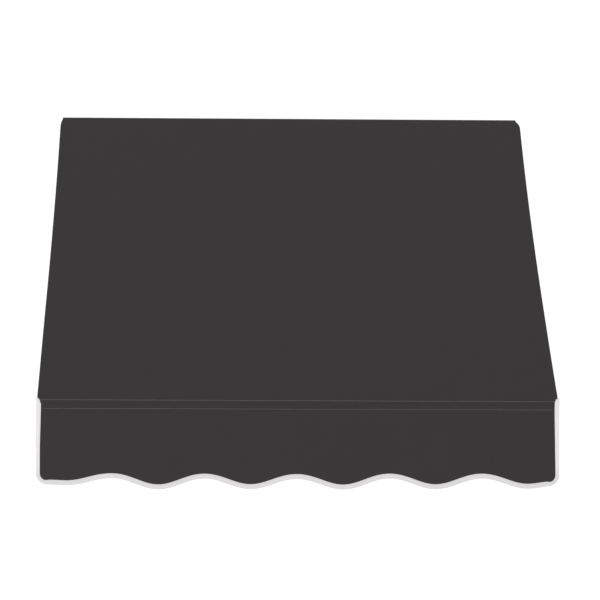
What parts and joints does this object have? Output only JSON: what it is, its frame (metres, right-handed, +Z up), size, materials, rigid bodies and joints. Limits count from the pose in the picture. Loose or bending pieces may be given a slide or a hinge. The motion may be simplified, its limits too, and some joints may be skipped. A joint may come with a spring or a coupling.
{
  "type": "window awning",
  "caption": "Fixed window awning: a charcoal cloth cover sloping over a square-tube wall frame with open sides, and a hanging valance with a waved, pale-bound lower edge.",
  "frame": {"origin": "centre of the back of the middle head bracket, on the wall plane", "axes": "+Z up, +Y into the wall, so the awning projects towards -Y; +X along the width"},
  "size_m": [1.335, 0.9136, 0.8446],
  "materials": {
    "charcoal_canvas": "matt woven acrylic canvas",
    "binding_tape": "pale grey-white woven tape",
    "frame_tube": "galvanised",
    "zinc_bracket": "zinc plated",
    "zinc_screw": "bright zinc",
    "end_cap_plastic": "moulded, fine matt"
  },
  "bodies": {
    "root": {"arm_left": "frame_tube", "arm_right": "frame_tube", "cover_screw_1": "zinc_screw", "cover_screw_2": "zinc_screw", "cover_screw_3": "zinc_screw", "cover_screw_4": "zinc_screw", "cover_screw_5": "zinc_screw", "cover_screw_6": "zinc_screw", "foot_bracket_left": "zinc_bracket", "foot_bracket_right": "zinc_bracket", "front_bar": "frame_tube", "front_bar_cap_left": "end_cap_plastic", "front_bar_cap_right": "end_cap_plastic", "front_corner_bracket_left": "zinc_bracket", "front_corner_bracket_right": "zinc_bracket", "front_pocket_strip": "charcoal_canvas", "head_bar": "frame_tube", "head_bar_cap_left": "end_cap_plastic", "head_bar_cap_right": "end_cap_plastic", "head_bracket_centre": "zinc_bracket", "head_bracket_left": "zinc_bracket", "head_bracket_right": "zinc_bracket", "head_corner_bracket_left": "zinc_bracket", "head_corner_bracket_right": "zinc_bracket", "rafter_left": "frame_tube", "rafter_right": "frame_tube", "screw_foot_arm_left": "zinc_screw", "screw_foot_arm_right": "zinc_screw", "screw_foot_post_left": "zinc_screw", "screw_foot_post_right": "zinc_screw", "screw_front_arm_left": "zinc_screw", "screw_front_arm_right": "zinc_screw", "screw_front_bar_left": "zinc_screw", "screw_front_bar_right": "zinc_screw", "screw_front_rafter_left": "zinc_screw", "screw_front_rafter_right": "zinc_screw", "screw_head_bar_left": "zinc_screw", "screw_head_bar_right": "zinc_screw", "screw_head_bracket_centre": "zinc_screw", "screw_head_bracket_left": "zinc_screw", "screw_head_bracket_right": "zinc_screw", "screw_head_post_left": "zinc_screw", "screw_head_post_right": "zinc_screw", "screw_head_rafter_left": "zinc_screw", "screw_head_rafter_right": "zinc_screw", "top_sheet": "charcoal_canvas", "valance": "charcoal_canvas", "valance_binding": "binding_tape", "wall_post_cap_left": "end_cap_plastic", "wall_post_cap_right": "end_cap_plastic", "wall_post_left": "frame_tube", "wall_post_right": "frame_tube"}
  },
  "joints": []
}
